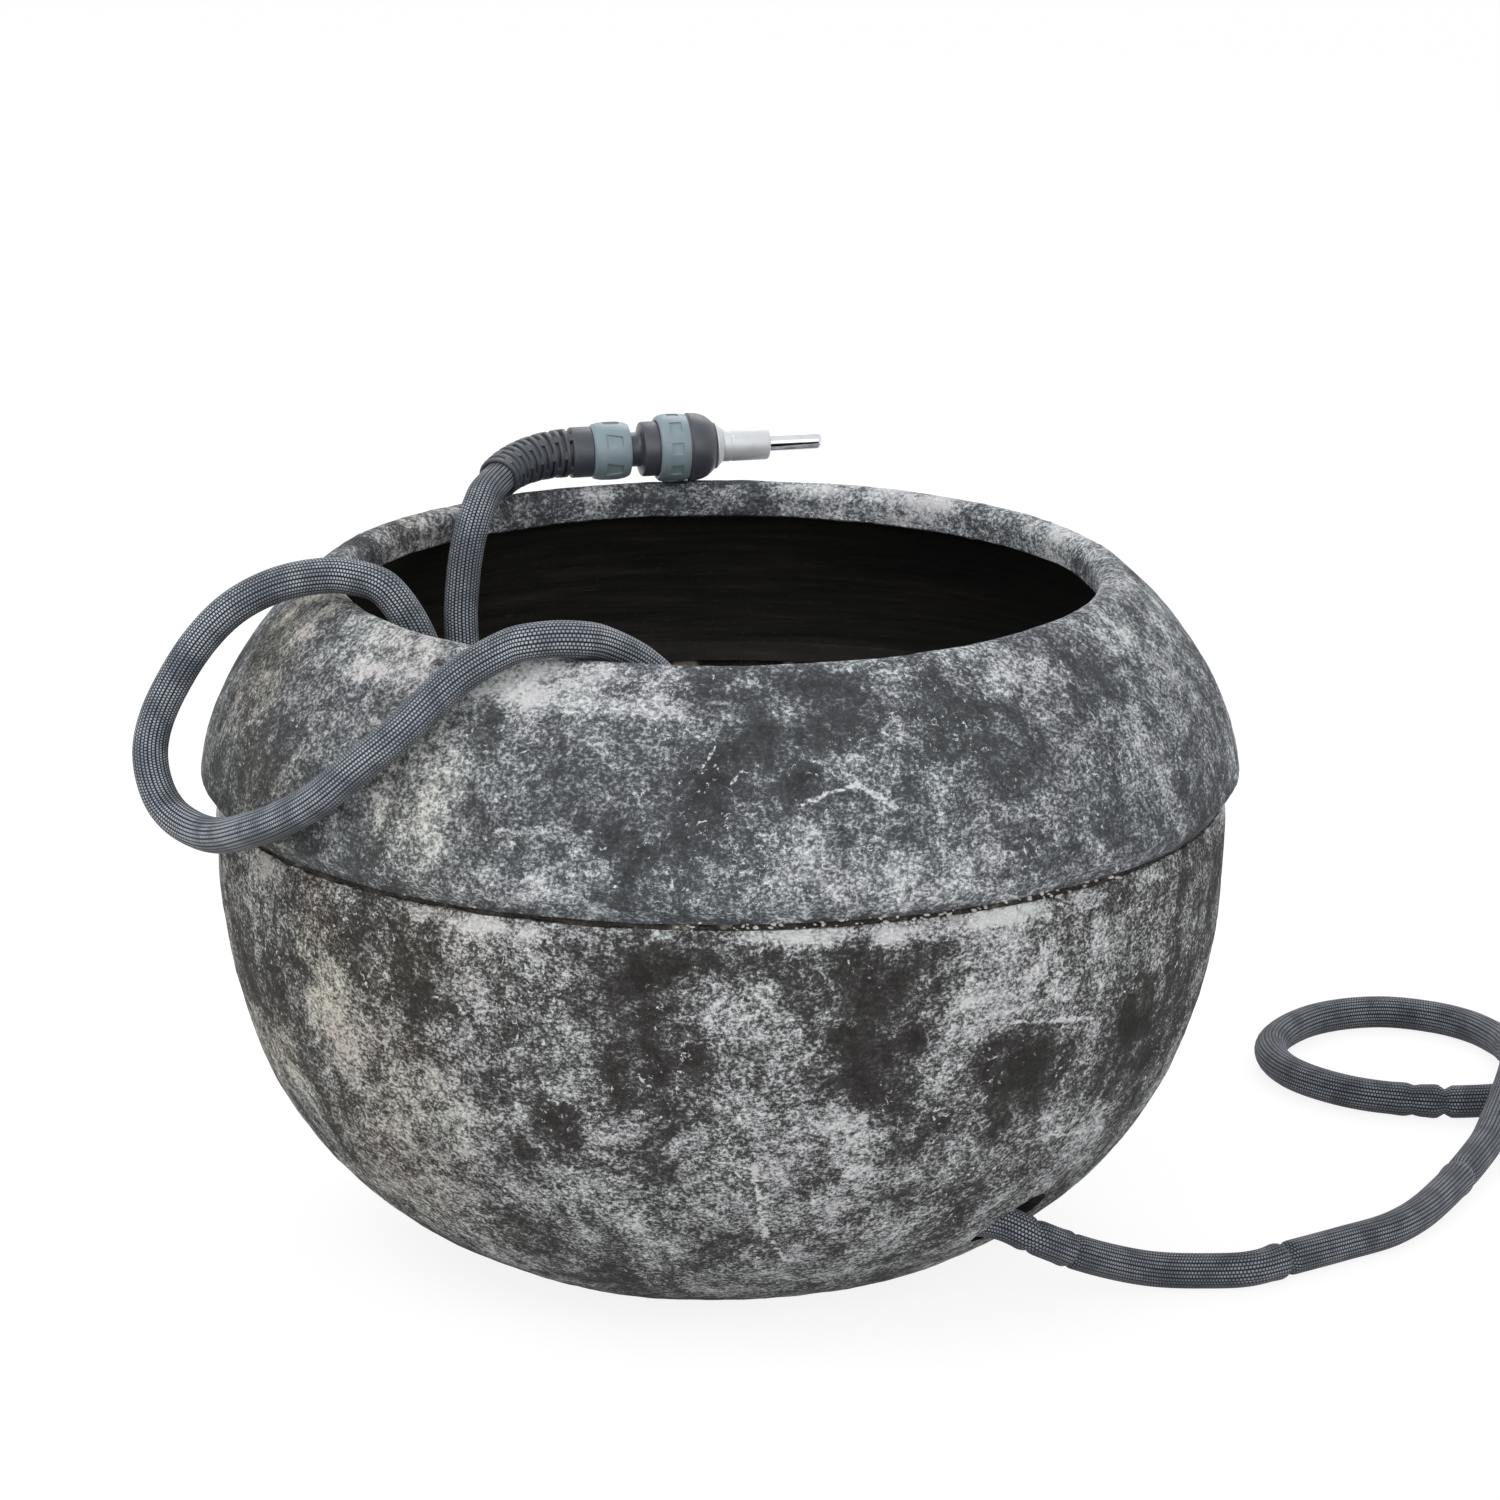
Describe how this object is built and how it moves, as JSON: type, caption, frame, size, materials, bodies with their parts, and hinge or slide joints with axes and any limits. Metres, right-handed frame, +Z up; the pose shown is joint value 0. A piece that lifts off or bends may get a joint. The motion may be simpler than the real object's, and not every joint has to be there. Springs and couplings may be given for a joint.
{
  "type": "garden hose pot",
  "caption": "Round cast garden pot that stores a hose coiled inside, fed through a hole near its foot, with a spray nozzle laid on the rim.",
  "frame": {"origin": "centre of the pot's flat foot, on the ground", "axes": "+Z up along the pot's axis, -Y towards the viewer, +X to the side on which the hose leaves the pot"},
  "size_m": [0.8746, 0.6532, 0.411],
  "materials": {
    "bowl_cement": "weathered grey cement with a chalky wash",
    "collar_cement": "weathered charcoal cement with a chalky wash",
    "mortar": "rough pale mortar",
    "hose_sleeve": "woven blue-grey sleeve over a flexible hose",
    "guard_rubber": "matt black",
    "grey_plastic": "fine-grained blue-grey",
    "black_plastic": "satin black",
    "seal_rubber": "matt black",
    "claw_steel": "plain",
    "spring_steel": "bright drawn wire",
    "satin_metal": "satin silver",
    "bright_metal": "bright plated"
  },
  "bodies": {
    "pot_and_hose": {"bowl": "bowl_cement", "collar": "collar_cement", "mortar_bed": "mortar", "hose_supply": "hose_sleeve", "hose_coil": "hose_sleeve", "hose_loop": "hose_sleeve", "nozzle_hose_tail": "hose_sleeve", "bend_guard": "guard_rubber", "clamp_nut": "grey_plastic", "coupling_body": "black_plastic", "coupling_seal": "seal_rubber", "lock_claws": "claw_steel", "release_spring": "spring_steel", "tap_hose_tail": "hose_sleeve", "tap_clamp_nut": "grey_plastic", "tap_coupling_body": "black_plastic", "tap_coupling_seal": "seal_rubber", "tap_lock_claws": "claw_steel", "tap_release_spring": "spring_steel"},
    "nozzle_sleeve": {"release_sleeve": "grey_plastic", "sleeve_grip": "black_plastic"},
    "nozzle_plug": {"nozzle_stem": "satin_metal", "stem_o_ring": "seal_rubber"},
    "nozzle_barrel": {"nozzle_barrel": "satin_metal", "barrel_seal": "seal_rubber", "nozzle_spout": "bright_metal"},
    "tap_sleeve": {"tap_release_sleeve": "grey_plastic", "tap_sleeve_grip": "black_plastic"},
    "tap_plug": {"tap_adaptor": "grey_plastic", "tap_adaptor_o_ring": "seal_rubber", "tap_washer": "seal_rubber"}
  },
  "joints": [
    {"name": "nozzle_sleeve_slide", "type": "slide", "parent": "pot_and_hose", "child": "nozzle_sleeve", "axis": [-0.9744, -0.225, 0], "range_m": [0, 0.005], "stiffness_N_per_m": 1500, "springref_m": -0.003, "deforming": ["release_spring"]},
    {"name": "nozzle_unplug", "type": "slide", "parent": "pot_and_hose", "child": "nozzle_plug", "axis": [0.9744, 0.225, 0], "range_m": [0, 0.038], "deforming": ["lock_claws"]},
    {"name": "spray_twist", "type": "hinge", "parent": "nozzle_plug", "child": "nozzle_barrel", "pos_m": [0.01204, 0.21842, 0.39165], "axis": [0.9744, 0.225, 0], "range_deg": [0, 270]},
    {"name": "tap_sleeve_slide", "type": "slide", "parent": "pot_and_hose", "child": "tap_sleeve", "axis": [0, -1, 0], "range_m": [0, 0.005], "stiffness_N_per_m": 1500, "springref_m": -0.003, "deforming": ["tap_release_spring"]},
    {"name": "tap_unplug", "type": "slide", "parent": "pot_and_hose", "child": "tap_plug", "axis": [0, 1, 0], "range_m": [0, 0.038], "deforming": ["tap_lock_claws"]}
  ]
}
